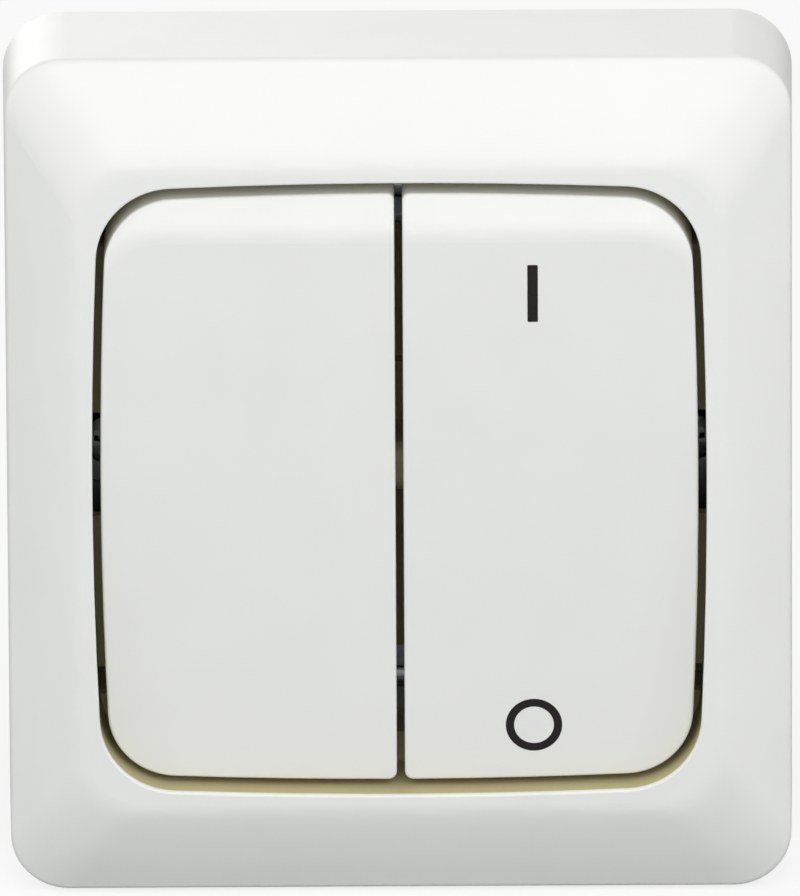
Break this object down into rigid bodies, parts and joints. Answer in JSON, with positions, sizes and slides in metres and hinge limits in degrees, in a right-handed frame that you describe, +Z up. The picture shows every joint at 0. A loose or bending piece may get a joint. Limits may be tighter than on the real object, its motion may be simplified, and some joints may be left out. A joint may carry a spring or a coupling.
{
  "type": "wall switch",
  "caption": "Flush two-gang wall switch: convex white cover frame, side-by-side rockers and a rocking-contact mechanism on a slotted steel plate.",
  "frame": {"origin": "midway between the fixing slots, on the wall plane", "axes": "-Y faces the room, +X is to the right seen from the room, +Z is up; the wall is the plane y = 0"},
  "size_m": [0.0816, 0.0434, 0.0918],
  "materials": {
    "white_cover": "satin moulded white",
    "ivory_frame": "moulded ivory",
    "grey_housing": "moulded grey",
    "white_carrier": "moulded",
    "zinc_steel": "zinc plated",
    "spring_steel": "drawn wire",
    "contact_brass": "stamped"
  },
  "bodies": {
    "base": {"cover_frame": "white_cover", "clip_frame": "ivory_frame", "support_plate": "zinc_steel", "housing": "grey_housing", "housing_lid": "ivory_frame", "body_screws": "zinc_steel", "terminal_cages": "zinc_steel", "terminal_screws": "zinc_steel", "left_upper_contact": "contact_brass", "left_lower_contact": "contact_brass", "right_lower_contact": "contact_brass", "left_common_strip": "contact_brass", "right_common_strip": "contact_brass"},
    "left_rocker_body": {"left_rocker": "white_cover", "left_cradle": "white_carrier", "left_plunger_spring": "spring_steel"},
    "left_plunger_body": {"left_plunger": "white_carrier"},
    "left_lever_body": {"left_contact_lever": "contact_brass"},
    "right_rocker_body": {"right_rocker": "white_cover", "right_cradle": "white_carrier", "right_plunger_spring": "spring_steel"},
    "right_plunger_body": {"right_plunger": "white_carrier"},
    "right_lever_body": {"right_contact_lever": "contact_brass"}
  },
  "joints": [
    {"name": "left_rocker_tilt", "type": "hinge", "parent": "base", "child": "left_rocker_body", "pos_m": [0, -0.0105, 0], "axis": [-1, 0, 0], "range_deg": [0, 6]},
    {"name": "left_plunger_slide", "type": "slide", "parent": "left_rocker_body", "child": "left_plunger_body", "axis": [0, -0.9986, -0.0523], "range_m": [0, 0.001], "stiffness_N_per_m": 300, "deforming": ["left_plunger_spring"]},
    {"name": "left_lever_flip", "type": "hinge", "parent": "base", "child": "left_lever_body", "pos_m": [0, 0.0062, 0], "axis": [1, 0, 0], "range_deg": [0, 16]},
    {"name": "right_rocker_tilt", "type": "hinge", "parent": "base", "child": "right_rocker_body", "pos_m": [0, -0.0105, 0], "axis": [-1, 0, 0], "range_deg": [0, 6]},
    {"name": "right_plunger_slide", "type": "slide", "parent": "right_rocker_body", "child": "right_plunger_body", "axis": [0, -0.9986, -0.0523], "range_m": [0, 0.001], "stiffness_N_per_m": 300, "deforming": ["right_plunger_spring"]},
    {"name": "right_lever_flip", "type": "hinge", "parent": "base", "child": "right_lever_body", "pos_m": [0, 0.0062, 0], "axis": [1, 0, 0], "range_deg": [0, 16]}
  ],
  "couplings": [
    {"joint": "left_lever_flip", "follows": "left_rocker_tilt", "ratio": 2.6667},
    {"joint": "right_lever_flip", "follows": "right_rocker_tilt", "ratio": 2.6667}
  ]
}
